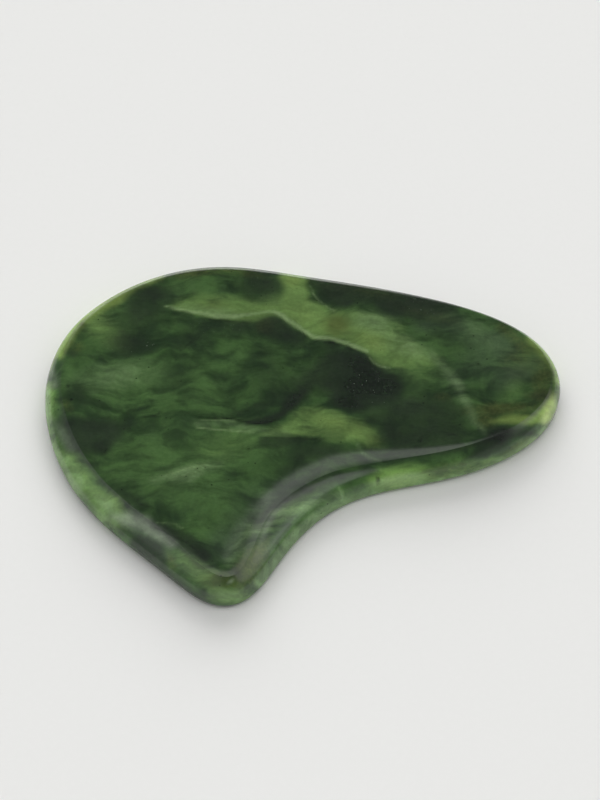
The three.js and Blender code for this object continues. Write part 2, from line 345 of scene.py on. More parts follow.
LAYOUT = {
    # yellow-green veins
    "light": [
        ("vein", [(-24.5, 27.0, 0.5), (-21, 27.0, 1.7), (-17, 26.4, 2.1), (-12.5, 25.8, 2.2), (-8.5, 25.5, 1.7),
                  (-5.4, 26.6, 1.9), (-2.4, 27.2, 2.4), (0.6, 25.0, 2.9), (3.6, 22.8, 2.8), (7.6, 21.6, 2.9),
                  (11.4, 20.8, 2.8), (15, 18.8, 2.6), (19, 16.6, 1.9), (22.4, 15.0, 1.2), (25.4, 13.4, 0.6)], 2.3, 0.88),
        ("vein", [(-1.8, 27.5, 2.8), (-1.6, 31.0, 2.6), (-2.0, 36.0, 3.4)], 1.1, 0.95),
        ("vein", [(10.5, 24.2, 1.0), (14.0, 23.6, 1.0), (19.0, 21.2, 0.6)], 1.6, 0.55),
        ("patch", [(-26.0, 26.6), (-22.5, 26.4), (-18, 25.6), (-13, 25.2), (-8.6, 25.2), (-5.6, 26.4), (-3, 26.2),
                   (0, 23.4), (2.4, 21.2), (6, 20.4), (9.4, 19.6), (12.6, 18.0), (15.6, 16.2), (19.5, 14.6),
                   (22.5, 12.4), (19, 11.7), (16, 11.9), (14, 12.4),
                   (12.7, 13.5), (12.0, 15.1), (10.4, 15.9), (9, 16.8), (7, 17.6), (5, 18.3), (3, 18.3),
                   (1.4, 18.6), (0.2, 19.6), (-0.9, 20.9), (-2, 22.1), (-4, 23.5), (-5.5, 24.0), (-7, 23.4),
                   (-8.5, 22.6), (-10, 22.2), (-11.5, 22.7), (-14, 23.1), (-17, 23.3), (-20, 23.9),
                   (-22.6, 24.6), (-25, 25.4)], 0.55, 0.66),
        ("patch", [(-8, -3.9), (-3.5, -1.6), (-2.4, 0.6), (-0.5, 1.9), (3, 2.4), (5.6, 1.5), (8.5, -0.3), (12, -1.4),
                   (14, -3.4), (14.3, -5.4), (12.4, -6.6), (10, -5.6), (6.5, -5.4), (3.4, -4.9), (0.2, -4.3),
                   (-4, -4.2)], 1.1, 0.66),
        ("vein", [(18, 17, 2.0), (22, 15.5, 1.6)], 1.6, 0.35),
        ("blob", 21, 12.5, 5, 2.4, -12, 2.6, 0.32),
        ("blob", -41.5, 23.5, 2.2, 6.5, 42, 2.2, 0.75),
        ("blob", 44.5, 13.0, 6.0, 1.6, 60, 2.5, 0.35),
        ("blob", -18.8, -34.4, 5.0, 2.0, -45, 1.0, 0.55),
        ("blob", -37.0, -20.6, 4.6, 2.8, -50, 1.6, 0.95),
        ("blob", -43.5, -12.5, 5.8, 2.3, -58, 1.6, 0.62),
        ("vein", [(-50.4, 7.0, 1.2), (-50.0, 3.0, 1.9), (-49.4, 0.0, 1.0)], 1.2, 0.95),
        ("blob", -14.0, -39.2, 3.2, 1.5, -8, 1.3, 0.80),
        ("blob", 18.5, -13.6, 5.6, 2.6, 8, 1.3, 0.95),
        ("vein", [(24, -14.5, 0.8), (30, -13.2, 1.2), (35, -11.6, 1.4), (40, -9.2, 1.4), (44, -6.7, 1.3), (48, -2.6, 0.8)], 1.3, 0.62),
        ("blob", -15.0, -7.0, 4.5, 2.4, 20, 2.2, 0.30),
        ("blob", -3.0, -20.8, 6.5, 1.6, 36, 1.6, 0.34),
        ("vein", [(-49.4, -2.0, 0.6), (-48.2, -7.6, 1.0), (-45.8, -12.6, 1.3), (-42.2, -17.0, 1.3)], 1.2, 0.45),
    ],
    # bright lime: patches of lime stone, and along the thin rim painted light coming through it
    "lime": [
        ("vein", [(-48.4, 15.0, 0.9), (-46.6, 19.2, 1.3), (-44.0, 23.4, 1.4), (-40.8, 27.0, 2.2), (-37.2, 29.8, 2.6),
                  (-33.6, 31.9, 1.5), (-29.0, 33.6, 0.9)], 1.1, 0.95),
        ("blob", -37.8, 28.6, 3.2, 1.6, 38, 1.6, 0.6),
        ("blob", -2.0, 33.2, 2.2, 1.8, 0, 1.4, 0.55),
        ("blob", 1.5, 23.4, 4.0, 2.0, -35, 2.2, 0.16),
        ("blob", 13.0, 18.0, 2.8, 1.6, -25, 1.8, 0.45),
        ("vein", [(50.0, 8.0, 0.5), (49.4, 12.0, 1.1), (47.6, 15.2, 0.9), (45.0, 18.4, 0.5)], 1.0, 0.75),
        ("blob", 7.4, -1.8, 5.0, 1.6, -18, 1.7, 0.30),
        ("blob", 18.5, -14.2, 4.4, 1.6, 8, 1.1, 0.25),
        ("blob", 47.6, 1.4, 2.4, 1.8, 60, 1.2, 1.0),
        ("vein", [(36.0, -0.8, 0.3), (40.0, -0.4, 0.9), (44.0, -0.7, 1.0), (47.5, 0.6, 1.5)], 0.8, 0.80),
    ],
    # pale grey-green wisps
    "pale": [
        ("vein", [(-20.5, -1.2, 0.3), (-16.5, -1.3, 0.6), (-12.5, -1.9, 0.7), (-8.5, -3.2, 0.5), (-3, -3.9, 0.3)], 1.3, 0.42),
        ("vein", [(-28.0, -14.2, 0.3), (-24.0, -12.9, 0.8), (-20.5, -11.6, 0.8), (-16.0, -10.4, 0.3)], 1.6, 0.58),
        ("vein", [(-24.5, -14.0, 0.6), (-21.5, -13.8, 0.7), (-19.0, -12.6, 0.2)], 0.8, 0.55),
        ("vein", [(25.5, 14.6, 0.5), (28.0, 11.5, 0.8), (30.0, 8.4, 0.9), (31.2, 5.2, 0.7), (32.2, 1.8, 0.6),
                  (33.0, -1.2, 0.4), (34.8, -3.4, 0.3)], 0.9, 0.42),
        ("vein", [(29.6, 9.0, 1.2), (31.4, 4.4, 1.0)], 1.8, 0.20),
        ("vein", [(10.2, -6.2, 0.1), (11.0, -8.2, 0.2), (12.4, -9.4, 0.3), (14.4, -9.8, 0.2)], 0.4, 0.45),
        ("blob", 14.0, 22.6, 3.6, 2.2, -10, 2.0, 0.45),
        ("blob", 20.0, 16.8, 4.5, 1.6, -20, 1.8, 0.45),
        ("blob", -36.5, 9.5, 6.0, 2.6, 8, 2.6, 0.34),
        ("blob", -18.0, 25.2, 5.0, 0.9, -8, 1.0, 0.35),
        ("vein", [(-50.2, 5.8, 0.9), (-49.8, 2.5, 1.2), (-49.2, -0.4, 0.7)], 0.9, 0.80),
        ("vein", [(-48.4, -6.2, 0.4), (-46.6, -9.2, 0.9), (-44.6, -12.4, 1.3), (-42.8, -15.4, 1.0)], 1.0, 0.75),
        ("blob", -37.0, -21.2, 3.2, 1.8, -50, 1.2, 0.80),
        ("vein", [(-11.2, -28.6, 0.9), (-9.0, -25.4, 1.2), (-6.0, -22.4, 1.5), (-2.0, -20.8, 0.9), (2.6, -19.2, 0.9),
                  (6.4, -17.6, 0.8)], 1.0, 0.42),
        ("vein", [(-13.6, -32.2, 0.7), (-11.0, -28.6, 0.7)], 1.2, 0.30),
        ("blob", 18.8, -14.4, 4.4, 1.4, 8, 0.9, 0.95),
        ("vein", [(-8.0, -37.0, 0.8), (-5.0, -32.8, 1.5), (-2.0, -28.2, 1.6), (2.0, -24.0, 1.5), (6.6, -20.6, 1.4),
                  (11.8, -18.2, 1.1), (16, -17.2, 0.6)], 1.2, 0.75),
        ("vein", [(6.8, -15.9, 0.2), (7.3, -17.5, 0.35), (7.3, -19.0, 0.2)], 0.35, 0.55),
        ("blob", -14.5, -38.9, 2.6, 1.2, -8, 1.2, 0.75),
        ("vein", [(22.0, -15.9, 0.5), (28.0, -14.6, 0.6), (34.0, -12.4, 0.6), (40.0, -8.9, 0.6), (43.8, -6.2, 0.6), (46.8, -3.0, 0.4)], 0.8, 0.80),
        ("blob", 26, 24.5, 4, 0.8, -22, 1.8, 0.25),
        ("blob", 35.5, 18.5, 5.5, 2.2, -30, 2.6, 0.14),
    ],
    # soft dark areas
    "dark": [
        ("blob", -8.4, 31.6, 3.6, 2.6, -15, 2.0, 0.74),
        ("patch", [(1.8, 34.5), (1.9, 31), (3.2, 28.6), (5.8, 26.3), (8.2, 25.9), (10.4, 27.0), (13.4, 27.4),
                   (15.6, 25.6), (17.2, 24.0), (19.6, 23.4), (22.6, 22.2), (26, 23.6), (30.6, 24.8), (30, 27.6),
                   (24, 30.4), (12, 33.2)], 1.3, 0.66),
        ("blob", 6.6, 30.4, 3.2, 2.0, -25, 1.5, 0.45),
        ("blob", 9.0, 27.4, 1.8, 1.2, 20, 1.0, 0.55),
        ("blob", 18.6, 26.6, 3.2, 2.6, -10, 1.6, 0.42),
        ("blob", 24.6, 27.4, 4.2, 1.8, -20, 1.6, 0.65),
        ("patch", [(-33.6, 31.2), (-29.4, 31.4), (-26.6, 30.2), (-27.4, 27.0), (-28.8, 24.6), (-30.8, 22.2),
                   (-32.4, 20.2), (-35.0, 22.0), (-35.4, 26.0)], 2.0, 0.52),
        ("blob", -30.0, 29.4, 2.4, 1.7, -10, 1.2, 0.42),
        ("blob", -34.4, 17.4, 3.8, 2.3, -15, 1.8, 0.66),
        ("blob", -36.0, 20.5, 1.6, 3.0, 0, 1.8, 0.40),
        ("blob", -18.6, 21.8, 4.6, 1.5, -4, 1.4, 0.34),
        ("blob", -22.6, 18.4, 3.0, 1.2, 30, 1.2, 0.48),
        ("blob", -11.6, 21.2, 2.6, 1.6, 0, 1.4, 0.50),
        ("blob", -5.4, 21.0, 3.6, 2.7, -28, 1.2, 0.74),
        ("blob", -1.4, 18.4, 2.4, 1.7, -40, 1.2, 0.62),
        ("blob", -7.6, 15.6, 2.0, 1.2, 30, 1.4, 0.36),
        ("blob", 5.4, 16.9, 1.3, 0.8, -20, 0.8, 0.50),
        ("patch", [(4.4, 15.6), (8.6, 16.4), (10.6, 15.4), (12.3, 14.4), (13.6, 12.4), (16.0, 11.2), (18.6, 9.4),
                   (19.4, 6.6), (18.6, 3.8), (15.6, 2.0), (11.6, 1.2), (8.4, 1.4), (6.0, 2.6), (5.2, 5.4),
                   (2.6, 6.6), (0.8, 5.4), (-1.4, 2.6), (-3.6, 2.6), (-2.4, 5.4), (0.6, 9.2), (2.6, 12.6)], 1.5, 0.80),
        ("blob", 12.2, 11.6, 3.2, 2.2, -35, 1.6, 0.70),
        ("blob", 11.6, 7.6, 3.8, 2.6, 20, 1.8, 0.62),
        ("blob", 15.8, 7.2, 2.8, 2.4, 0, 1.6, 0.60),
        ("blob", 9.2, 3.2, 2.6, 1.3, -15, 1.2, 0.60),
        ("blob", -1.4, 4.6, 3.2, 1.4, 50, 1.0, 0.80),
        ("vein", [(-14, 0.8, 0.3), (-10.5, 1.8, 0.6), (-7, 3.6, 1.2), (-3, 6.0, 1.4), (1, 10.0, 1.2)], 1.8, 0.42),
        ("blob", -6.0, 10.0, 4.0, 3.6, 30, 3.0, 0.30),
        ("blob", 20.5, 7.4, 3.4, 2.4, 0, 2.0, 0.35),
        ("blob", -26.0, 8.5, 3.4, 2.0, 10, 2.6, 0.22),
        ("vein", [(-10.6, -1.3, 0.5), (-7.4, -0.8, 0.9), (-4.4, 0.7, 0.8), (-2.4, 3.2, 0.9)], 0.7, 0.90),
        ("patch", [(-48.6, -0.8), (-46.6, 0.3), (-42.4, -0.2), (-38, -0.6), (-33.4, -1.0), (-33.6, -3.0),
                   (-35.6, -5.6), (-37.4, -8.0), (-40.6, -8.4), (-43.4, -8.6), (-46.2, -8.0), (-47.4, -4.8)], 1.5, 0.66),
        ("blob", -40.4, -1.9, 4.0, 1.2, -4, 1.1, 0.42),
        ("blob", -38.4, -6.6, 1.6, 1.5, 40, 0.8, 0.62),
        ("blob", -43.6, 5.4, 2.2, 1.5, -40, 1.4, 0.45),
        ("patch", [(-29.2, -22.9), (-26.2, -24.0), (-22.4, -25.4), (-19.4, -27.6), (-17.0, -30.4), (-18.2, -31.8),
                   (-21.8, -29.9), (-26.0, -26.4)], 0.8, 0.72),
        ("blob", -18.8, -30.3, 1.9, 1.1, -35, 0.8, 0.66),
        ("blob", -25.6, -25.2, 2.2, 0.9, -38, 0.8, 0.42),
        ("blob", 2.6, -8.0, 4.8, 1.6, 4, 1.3, 0.66),
        ("blob", -1.8, -11.2, 2.6, 1.3, 35, 1.2, 0.52),
        ("patch", [(-8.4, -4.8), (-4, -4.5), (0, -4.6), (2.0, -5.2), (-1, -6.2), (-5, -7.2), (-8.6, -7.0)], 0.7, 0.50),
        ("patch", [(35.8, -2.4), (38.4, -1.9), (41.4, -2.6), (44.6, -3.0), (45.4, -4.2), (42.0, -4.8), (39.4, -5.2),
                   (37.4, -6.8), (35.6, -9.2), (31.6, -9.6), (33.0, -6.4)], 0.8, 0.80),
        ("blob", 37.4, -3.6, 2.4, 1.6, 10, 1.0, 0.80),
        ("patch", [(14.6, 1.0), (19.4, 3.8), (24.6, 5.4), (28.6, 5.2), (30.8, 1.0), (32.0, -4.0), (31.4, -8.2),
                   (24, -9.2), (16.2, -8.6), (14.8, -4.2)], 2.2, 0.60),
        ("blob", 20.4, 2.4, 3.0, 1.5, 10, 1.6, 0.40),
        ("blob", 21.0, -4.6, 3.4, 1.4, 4, 1.4, 0.42),
        ("blob", 26.4, 1.6, 1.7, 1.1, -30, 1.0, 0.45),
        ("blob", 13.4, -0.6, 1.6, 1.4, 0, 1.0, 0.45),
        ("blob", 17.4, -3.2, 1.6, 1.3, 0, 1.0, 0.40),
        ("blob", 43.0, 10.6, 3.4, 1.2, 34, 1.5, 0.45),
        ("blob", 47.0, 5.3, 2.3, 0.9, 4, 0.8, 0.62),
        ("patch", [(-32.6, -26.0), (-29.6, -26.4), (-26.4, -28.4), (-25.7, -31.0), (-25.3, -34.0), (-22.2, -36.6),
                   (-19.6, -38.8), (-17.6, -40.6), (-21.2, -40.0), (-27.0, -35.4), (-33.0, -29.6)], 0.8, 0.66),
        ("blob", -48.6, 7.6, 1.2, 1.0, 0, 0.9, 0.50),
        ("blob", -45.4, 15.0, 1.6, 0.8, -10, 0.8, 0.55),
        ("blob", -15.6, -36.2, 1.8, 1.2, -20, 1.0, 0.40),
        ("blob", -12.2, -34.6, 1.3, 1.3, 0, 1.0, 0.35),
        ("blob", -33.6, -17.4, 2.2, 0.9, -38, 0.9, 0.45),
        ("blob", -30.8, -19.6, 2.6, 0.8, -40, 0.8, 0.45),
        ("vein", [(1.0, -16.6, 0.7), (3.6, -15.0, 0.9), (7.0, -13.6, 0.8), (10.5, -12.6, 0.6), (13, -12.2, 0.5)], 1.1, 0.74),
        ("vein", [(-8.8, -24.2, 0.3), (-6.2, -20.8, 0.7), (-3.0, -18.3, 1.0), (1.0, -16.6, 0.8)], 0.9, 0.75),
        ("vein", [(-5.4, -27.6, 0.5), (-2.6, -24.2, 0.4)], 0.8, 0.45),
    ],
    # olive and brown stain
    "brown": [
        ("blob", -22.6, 34.6, 3.2, 1.1, 8, 1.2, 0.80),
        ("blob", -15.0, 35.2, 4.0, 0.8, -2, 0.9, 0.55),
        ("blob", -10.2, 34.0, 2.4, 0.9, -12, 0.9, 0.50),
        ("blob", 6.8, 21.8, 2.6, 2.2, 10, 1.6, 0.95),
        ("blob", -18.0, 26.8, 2.2, 1.1, 0, 1.4, 0.35),
        ("blob", 12.0, 31.0, 8.5, 1.5, -14, 1.4, 0.50),
        ("blob", 24.0, 24.6, 4.2, 1.2, -18, 1.4, 0.36),
        ("blob", 38.6, 1.9, 6.0, 1.3, 3, 1.1, 0.74),
        ("blob", 34.8, -0.6, 1.7, 1.6, 0, 1.2, 0.60),
        ("blob", 47.0, 5.3, 2.6, 1.1, 4, 1.0, 0.70),
        ("blob", 47.0, 9.5, 1.6, 3.6, -6, 1.4, 0.60),
        ("blob", 43.4, 17.6, 2.6, 1.1, -45, 1.3, 0.55),
        ("blob", 40.0, 20.6, 1.8, 1.0, -35, 1.1, 0.50),
        ("blob", 43.0, 14.6, 3.4, 1.6, 30, 1.8, 0.40),
        ("blob", -43.4, 22.3, 0.8, 1.1, 0, 0.7, 0.60),
        ("blob", -44.2, 16.4, 1.3, 1.0, 60, 0.9, 0.50),
        ("blob", -45.6, 2.6, 0.8, 1.3, 20, 0.9, 0.40),
        ("blob", -10.0, -33.2, 2.2, 4.2, -30, 1.4, 0.78),
        ("blob", -15.2, -36.0, 3.0, 1.6, -12, 1.2, 0.72),
        ("blob", -8.0, -29.8, 1.2, 2.4, -30, 1.2, 0.60),
        ("blob", -24.4, -32.0, 0.9, 1.8, 10, 0.8, 0.50),
        ("blob", 13.4, -5.8, 2.0, 1.6, 0, 1.2, 0.30),
        ("blob", 27.4, 4.6, 1.2, 0.8, 0, 0.9, 0.45),
        ("blob", -6.8, 21.6, 1.9, 1.5, 0, 1.1, 0.45),
        ("blob", 42.4, -6.6, 3.0, 0.9, 32, 0.9, 0.55),
        ("blob", 28.0, -11.6, 4.0, 1.2, 14, 1.2, 0.40),
    ],
    # lighter, cleaner green ground
    "mid": [
        ("blob", -34.0, 8.0, 9.0, 5.0, 6, 4.0, 0.78),
        ("blob", -19.5, 6.0, 5.0, 3.0, 20, 3.0, 0.50),
        ("blob", -15.0, -6.8, 7.6, 4.2, 18, 3.0, 1.0),
        ("blob", -30.0, -9.0, 9.5, 6.0, 20, 4.0, 0.60),
        ("blob", -16.0, 13.0, 5.0, 3.0, 0, 2.6, 0.30),
        ("blob", -22.0, -15.0, 8.0, 5.0, 12, 3.0, 0.72),
        ("blob", 23.0, 10.5, 4.0, 2.2, -20, 2.4, 0.62),
        ("blob", 2.0, 9.8, 1.6, 3.6, -35, 1.8, 0.45),
        ("blob", -22.0, 31.6, 6.0, 2.0, 4, 1.8, 0.60),
        ("blob", -39.0, 21.5, 6.0, 4.0, 40, 3.0, 0.40),
        ("blob", -15.0, -21.0, 6.0, 5.0, 30, 3.0, 0.62),
        ("blob", 26.5, 18.6, 3.0, 1.6, -35, 2.2, 0.60),
        ("blob", 26.0, -5.6, 3.6, 2.4, 0, 1.8, 0.35),
        ("blob", -46.8, 9.0, 1.4, 3.2, 0, 1.4, 0.70),
        ("blob", 35.0, 15.5, 7.0, 5.0, -20, 4.0, 0.22),
        ("blob", 38.0, 17.0, 6.0, 4.0, -30, 3.0, 0.30),
        ("blob", 10.6, -15.2, 4.4, 2.0, 14, 1.8, 0.45),
        ("blob", 30.0, -10.4, 7.0, 1.6, 12, 1.6, 0.60),
        ("vein", [(-48.0, -1.0, 0.6), (-46.0, -8.0, 1.0), (-42.0, -14.4, 1.0), (-36.0, -20.2, 0.8)], 1.2, 0.50),
    ],
    # crisp pale threads
    "line": [
        ("vein", [(-27.0, 26.4, 0.12), (-25.0, 25.6, 0.22), (-22.4, 24.9, 0.26), (-20.0, 24.5, 0.30), (-17.0, 23.9, 0.50),
                  (-14.6, 23.8, 0.40), (-11.4, 24.2, 0.26), (-8.0, 24.8, 0.22), (-5.6, 25.0, 0.32), (-4.0, 24.1, 0.40),
                  (-2.0, 22.5, 0.40), (-0.8, 21.3, 0.40), (0.3, 20.0, 0.45), (1.6, 19.0, 0.42), (3.2, 18.6, 0.36),
                  (5.2, 18.6, 0.42), (7.0, 18.0, 0.40), (9.0, 17.2, 0.36), (10.5, 16.3, 0.46), (12.2, 15.5, 0.30)], 0.40, 1.0),
        ("vein", [(12.6, 14.0, 0.10), (13.8, 12.8, 0.18), (15.0, 12.1, 0.18), (17.0, 11.6, 0.10)], 0.3, 0.7),
        ("vein", [(-20.6, -2.1, 0.10), (-17.5, -2.7, 0.16), (-14.0, -3.1, 0.14), (-9.5, -3.6, 0.10)], 0.3, 0.6),
        ("vein", [(-20.0, -0.3, 0.05), (-16.4, -0.3, 0.14), (-13.0, -0.9, 0.10)], 0.3, 0.5),
        ("vein", [(1.6, 31.4, 0.08), (2.2, 29.4, 0.12), (3.2, 27.9, 0.14), (4.8, 26.2, 0.12), (6.4, 25.3, 0.08)], 0.3, 0.5),
        ("vein", [(-26.5, -13.4, 0.08), (-23.6, -12.2, 0.14), (-20.0, -11.0, 0.12), (-17.6, -10.6, 0.06)], 0.35, 0.6),
        ("vein", [(-24.6, -13.6, 0.06), (-21.0, -12.6, 0.10), (-18.6, -11.4, 0.06)], 0.3, 0.5),
        ("vein", [(-27.4, -23.5, 0.06), (-24.2, -23.8, 0.10), (-22.6, -24.6, 0.06)], 0.3, 0.45),
    ],
    # crisp dark fissures
    "crack": [
        ("vein", [(-32.4, -0.3, 0.05), (-30.6, -0.1, 0.18), (-28.8, 0.4, 0.24), (-27.6, 1.3, 0.16)], 0.35, 0.9),
        ("vein", [(-20.4, 0.2, 0.05), (-17.4, 0.1, 0.12), (-14.0, -0.3, 0.14), (-11.2, -1.0, 0.20), (-9.0, -1.5, 0.28),
                  (-6.6, -1.2, 0.24), (-5.0, -0.5, 0.10)], 0.35, 0.95),
        ("vein", [(-8.0, -4.9, 0.06), (-4.0, -4.7, 0.14), (0.0, -4.8, 0.12), (3.4, -5.4, 0.05)], 0.3, 0.6),
        ("vein", [(-24.6, 15.4, 0.05), (-22.6, 17.0, 0.20), (-20.8, 18.8, 0.10)], 0.4, 0.6),
        ("vein", [(4.2, 17.7, 0.05), (5.8, 17.5, 0.35), (6.6, 17.0, 0.10)], 0.35, 0.9),
        ("vein", [(7.6, 17.0, 0.05), (9.0, 16.3, 0.25), (10.0, 15.6, 0.10)], 0.35, 0.7),
        ("vein", [(-0.6, 20.2, 0.05), (0.4, 18.9, 0.20), (1.4, 18.0, 0.10)], 0.35, 0.6),
        ("vein", [(-20.0, 23.3, 0.05), (-17.4, 22.8, 0.20), (-14.0, 22.6, 0.16), (-11.6, 22.0, 0.08)], 0.35, 0.6),
        ("blob", 12.2, 11.2, 3.4, 2.2, -35, 1.8, 0.70),
        ("blob", 11.4, 7.4, 3.6, 2.4, 20, 2.0, 0.62),
        ("blob", 16.0, 7.0, 2.4, 1.9, 0, 1.8, 0.55),
        ("blob", 9.0, 3.0, 2.2, 1.0, -15, 1.2, 0.55),
        ("blob", 5.6, 17.1, 0.9, 0.5, -10, 0.6, 0.40),
        ("blob", 37.6, -4.6, 2.2, 1.4, 20, 1.0, 0.80),
        ("blob", -1.6, 4.3, 1.8, 0.7, 50, 0.9, 0.45),
        ("blob", -45.7, 7.2, 0.30, 0.22, 0, 0.25, 1.0),
        ("blob", -44.8, 4.1, 0.36, 0.24, 20, 0.25, 1.0),
        ("blob", -37.6, -7.6, 0.50, 0.30, 60, 0.3, 1.0),
        ("blob", 34.3, 12.4, 0.35, 0.28, 0, 0.3, 0.9),
        ("blob", 27.2, 19.2, 0.40, 0.18, 20, 0.25, 0.8),
        ("blob", 22.6, -5.3, 0.35, 0.22, 0, 0.25, 0.9),
        ("blob", 14.0, -14.2, 0.28, 0.85, 12, 0.3, 1.0),
        ("blob", 15.6, -10.0, 0.5, 0.16, 5, 0.2, 0.9),
        ("blob", -10.3, -7.3, 0.25, 0.25, 0, 0.2, 0.7),
        ("vein", [(-31.2, -19.4, 0.05), (-29.8, -19.9, 0.16), (-28.6, -20.3, 0.05)], 0.3, 0.8),
        ("vein", [(-27.6, -24.6, 0.05), (-25.6, -25.8, 0.22), (-23.6, -26.9, 0.12), (-21.8, -27.8, 0.16), (-20.2, -29.3, 0.10)], 0.35, 0.8),
    ],
    # cold grey-blue ground
    "blue": [
        ("blob", 42.0, 10.2, 4.6, 1.9, 32, 2.0, 0.80),
        ("blob", 37.0, 13.5, 6.0, 4.2, 20, 3.0, 0.45),
        ("blob", 38.6, 17.6, 4.6, 2.8, -20, 2.6, 0.55),
        ("blob", 24.4, 21.6, 2.0, 1.4, 0, 1.6, 0.45),
        ("blob", 30.0, 21.5, 5.0, 2.6, -20, 2.4, 0.40),
        ("blob", 12.0, 7.0, 6.0, 5.0, 0, 3.0, 0.35),
        ("blob", 21.0, 2.4, 3.0, 1.6, 0, 1.8, 0.40),
        ("blob", -39.4, -4.0, 4.0, 2.6, 0, 2.0, 0.35),
        ("blob", -28.0, -30.0, 3.4, 2.2, -42, 1.6, 0.55),
        ("blob", -10.4, -21.0, 3.0, 6.0, -30, 2.6, 0.35),
        ("blob", -14.6, -28.6, 3.0, 3.4, 0, 2.2, 0.50),
        ("blob", -6.4, 27.4, 2.4, 1.2, 0, 1.4, 0.30),
    ],
    # milky grey on the bevels: a painted reflection of the white lights
    "painted_bevel_sheen": [
        ("vein", [(-36.0, -22.4, 0.4), (-33.0, -22.8, 1.6), (-30.0, -23.8, 1.5), (-27.4, -26.0, 1.0), (-24.6, -28.2, 0.6)], 1.2, 0.92),
        ("blob", -27.4, -26.2, 1.8, 0.8, -42, 0.8, 0.50),
        ("vein", [(-50.4, 13.0, 0.2), (-49.4, 10.4, 0.7), (-48.8, 7.6, 0.8)], 1.1, 0.55),
        ("vein", [(-48.4, -0.9, 0.5), (-47.0, -3.6, 1.2), (-44.8, -6.8, 1.0)], 1.0, 0.25),
        ("vein", [(-46.0, -12.0, 0.4), (-44.0, -15.0, 0.7), (-41.0, -18.4, 0.4)], 0.9, 0.35),
        ("vein", [(-14.0, -31.0, 0.4), (-11.4, -25.4, 0.9), (-8.8, -20.6, 1.1), (-6.2, -17.4, 0.6)], 1.6, 0.36),
        ("blob", -13.6, -36.2, 0.6, 0.3, 50, 0.3, 0.6),
    ],
    # nearly white: painted light shining through the translucent rim
    "painted_rim_glow": [
        ("blob", 48.2, 2.4, 1.0, 2.6, -18, 0.9, 0.75),
        ("blob", 47.2, -0.4, 1.4, 1.2, 40, 0.9, 0.70),
        ("vein", [(-46.8, 20.4, 0.1), (-48.8, 16.0, 0.2), (-50.2, 11.0, 0.1)], 0.5, 0.45),
        ("vein", [(-45.4, 22.6, 0.1), (-42.0, 26.4, 0.15), (-38.4, 29.6, 0.15), (-34.0, 32.4, 0.1)], 0.5, 0.45),
    ],
    # groups of tiny pits; where they catch the light a glint is painted into the colour
    "pits": [
        ("blob", -33.6, 16.6, 3.4, 1.1, 2, 1.2, 1.0),
        ("blob", 11.6, 9.6, 2.8, 1.8, 30, 2.0, 0.75),
        ("blob", 24.0, 26.4, 3.0, 1.6, -15, 1.8, 0.55),
        ("blob", -8.0, 32.0, 2.6, 2.2, 0, 1.6, 0.40),
        ("blob", -18.0, 20.5, 5.0, 1.6, 0, 1.8, 0.35),
        ("blob", 14.0, 5.0, 4.0, 3.0, 0, 2.0, 0.35),
    ],
}

DIP = 0.65      # how far the layout moves in y for each millimetre of depth


def strength(kind, x, y):
    """The greatest strength, 0 to 1, that one kind of marking has at each point."""
    total = np.zeros(len(x))
    for item in LAYOUT[kind]:
        shape, soft, amount = item[0], item[-2], item[-1]
        if shape == "blob":
            cx, cy, a, b, angle = item[1:6]
            c, s = math.cos(math.radians(angle)), math.sin(math.radians(angle))
            dx, dy = x - cx, y - cy
            r = np.sqrt(((dx * c + dy * s) / a) ** 2 + ((-dx * s + dy * c) / b) ** 2)
            d = (1 - r) * min(a, b)
        elif shape == "vein":
            pts = item[1]
            d = np.full(len(x), -1e9)
            for (x0, y0, w0), (x1, y1, w1) in zip(pts, pts[1:]):
                ex, ey = x1 - x0, y1 - y0
                t = np.clip(((x - x0) * ex + (y - y0) * ey) / (ex * ex + ey * ey), 0, 1)
                d = np.maximum(d, w0 + (w1 - w0) * t - np.hypot(x - x0 - t * ex, y - y0 - t * ey))
        else:
            pts = item[1]
            inside = np.zeros(len(x), bool)
            near = np.full(len(x), 1e9)
            for (x0, y0), (x1, y1) in zip(pts, pts[1:] + pts[:1]):
                ex, ey = x1 - x0, y1 - y0
                t = np.clip(((x - x0) * ex + (y - y0) * ey) / (ex * ex + ey * ey), 0, 1)
                near = np.minimum(near, np.hypot(x - x0 - t * ex, y - y0 - t * ey))
                if y0 != y1:
                    inside ^= ((y < y0) != (y < y1)) & (x < ex * (y - y0) / (y1 - y0 + 1e-12) + x0)
            d = np.where(inside, near, -near)
        m = np.clip(0.5 + d / (2 * soft), 0, 1)
        m = m * m * (3 - 2 * m) * amount
        total = total + m - total * m
    return total


def lay_out(v):
    x, y, z = v.T
    depth = T - z
    qx, qy = x.copy(), y - 0.65 - DIP * depth
    # the borders wander at about 1 to 5 mm, so that no drawn shape stays smooth
    for scale, size, seed in ((6.0, 0.8, 41), (2.2, 0.30, 57)):
        wx = fractal(x / scale, y / scale, depth / scale / 2, seed, 2) - 0.5
        wy = fractal(x / scale, y / scale, depth / scale / 2, seed + 7, 2) - 0.5
        qx = qx + size * 2 * wx
        qy = qy + size * wy
    # on the underside the bedding has drifted further
    under = np.clip((depth - 5.4) / 1.1, 0, 1)
    qx = qx + under * 9 * (fractal(x / 16, y / 16, seed=71) - 0.5)
    qy = qy + under * 9 * (fractal(x / 16, y / 16, seed=83) - 0.5)
    return {k: strength(k, qx, qy) for k in LAYOUT}


MARKS = lay_out(SURFACE)
GROUPS = {
    "stone_a": ("light", "lime", "pale"),
    "stone_b": ("dark", "brown", "mid"),
    "stone_c": ("line", "crack", "blue"),
    "stone_pits_and_painted_light": ("painted_bevel_sheen", "painted_rim_glow", "pits"),
}
for name, kinds in GROUPS.items():
    data = np.column_stack([MARKS[k] for k in kinds]).astype(np.float32)
    board.data.attributes.new(name, "FLOAT_VECTOR", "POINT").data.foreach_set("vector", data.ravel())


def step(x, lo, hi):
    t = np.clip((x - lo) / (hi - lo), 0, 1)
    return t * t * (3 - 2 * t)
